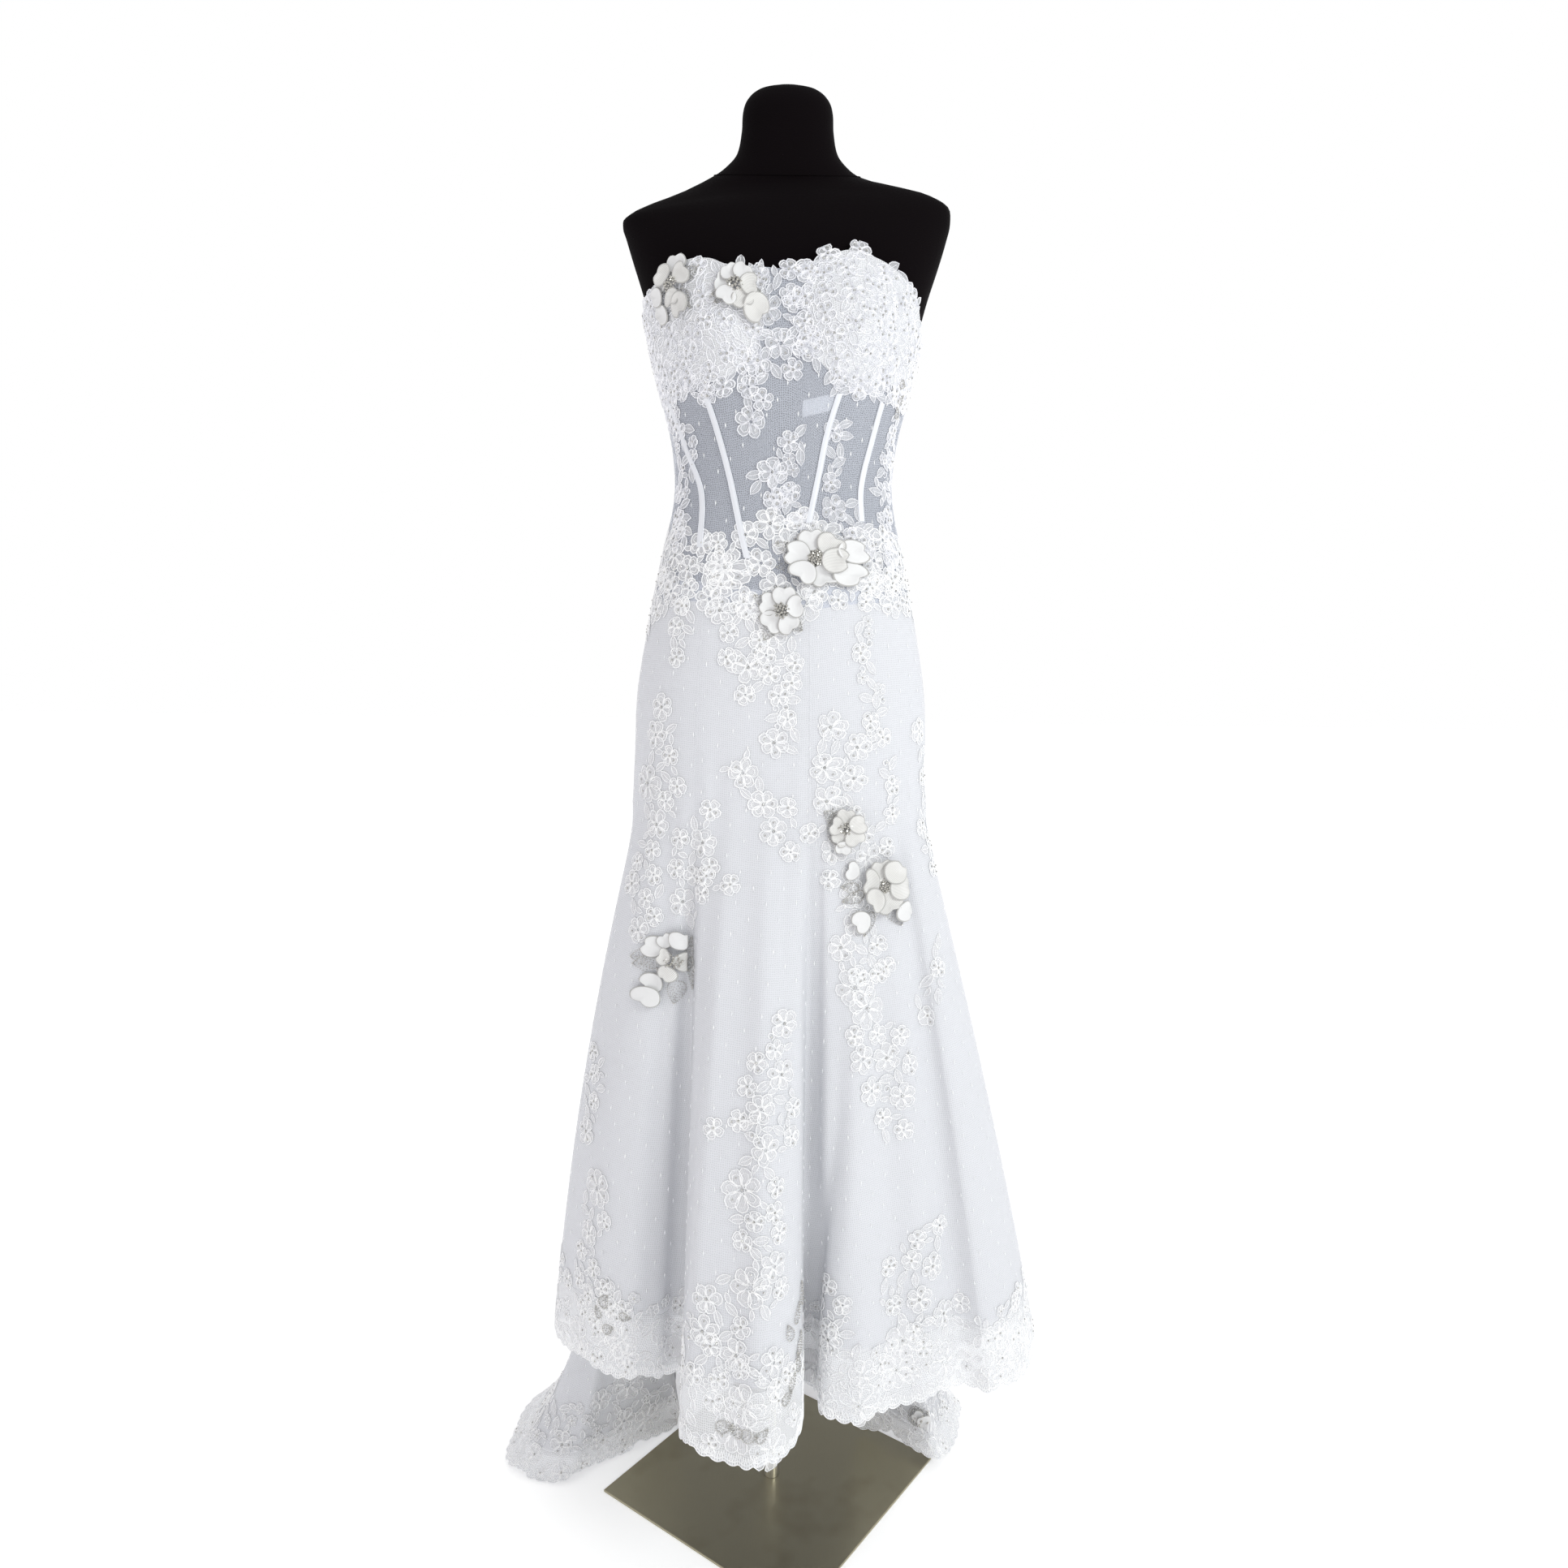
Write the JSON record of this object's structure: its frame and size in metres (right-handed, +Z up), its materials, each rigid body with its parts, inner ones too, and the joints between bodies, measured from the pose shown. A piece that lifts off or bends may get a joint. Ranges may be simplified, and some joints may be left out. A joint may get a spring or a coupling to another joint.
{
  "type": "wedding dress on dress form",
  "caption": "Strapless lace wedding dress with a sheer boned bodice, fabric flowers and a flared skirt with a train, on a limbless dress form with a pole and square plate.",
  "frame": {"origin": "on the pole's axis, on the underside of the square plate", "axes": "+Z up along the pole, -Y towards the front of the dress, +X to the right of someone who looks at the front"},
  "size_m": [0.6804, 0.673, 1.6914],
  "materials": {
    "net": "fine soft net with small dots",
    "lace": "corded and beaded lace",
    "satin": "smooth satin",
    "organza": "crisp organza petals",
    "jersey": "black knitted jersey",
    "steel": "brushed steel"
  },
  "bodies": {
    "root": {"back_placket": "satin", "base_plate": "steel", "bodice_back_left": "net", "bodice_back_right": "net", "bodice_centre_front": "net", "bodice_centre_gusset": "net", "bodice_side_back_left": "net", "bodice_side_back_right": "net", "bodice_side_front_left": "net", "bodice_side_front_right": "net", "bodice_side_left": "net", "bodice_side_right": "net", "boning_left_princess": "satin", "boning_left_side": "satin", "boning_right_princess": "satin", "boning_right_side": "satin", "button_01": "satin", "button_02": "satin", "button_03": "satin", "button_04": "satin", "button_05": "satin", "button_06": "satin", "button_07": "satin", "button_08": "satin", "button_09": "satin", "button_10": "satin", "button_11": "satin", "button_12": "satin", "cup_left": "lace", "cup_right": "lace", "flower_bust_left_inner": "organza", "flower_bust_left_outer": "organza", "flower_hip_centre": "organza", "flower_hip_lower": "organza", "flower_skirt_left": "organza", "flower_skirt_right_lower": "organza", "flower_skirt_right_upper": "organza", "form_neck": "jersey", "form_torso": "jersey", "hem_lace_back_left": "lace", "hem_lace_back_right": "lace", "hem_lace_front_centre": "lace", "hem_lace_front_left": "lace", "hem_lace_front_right": "lace", "hem_lace_side_back_left": "lace", "hem_lace_side_back_right": "lace", "pole": "steel", "pole_collar": "steel", "skirt_lining_back": "satin", "skirt_lining_front": "satin", "skirt_net_back_left": "net", "skirt_net_back_right": "net", "skirt_net_front_centre": "net", "skirt_net_front_left": "net", "skirt_net_front_right": "net", "skirt_net_side_back_left": "net", "skirt_net_side_back_right": "net"}
  },
  "joints": []
}
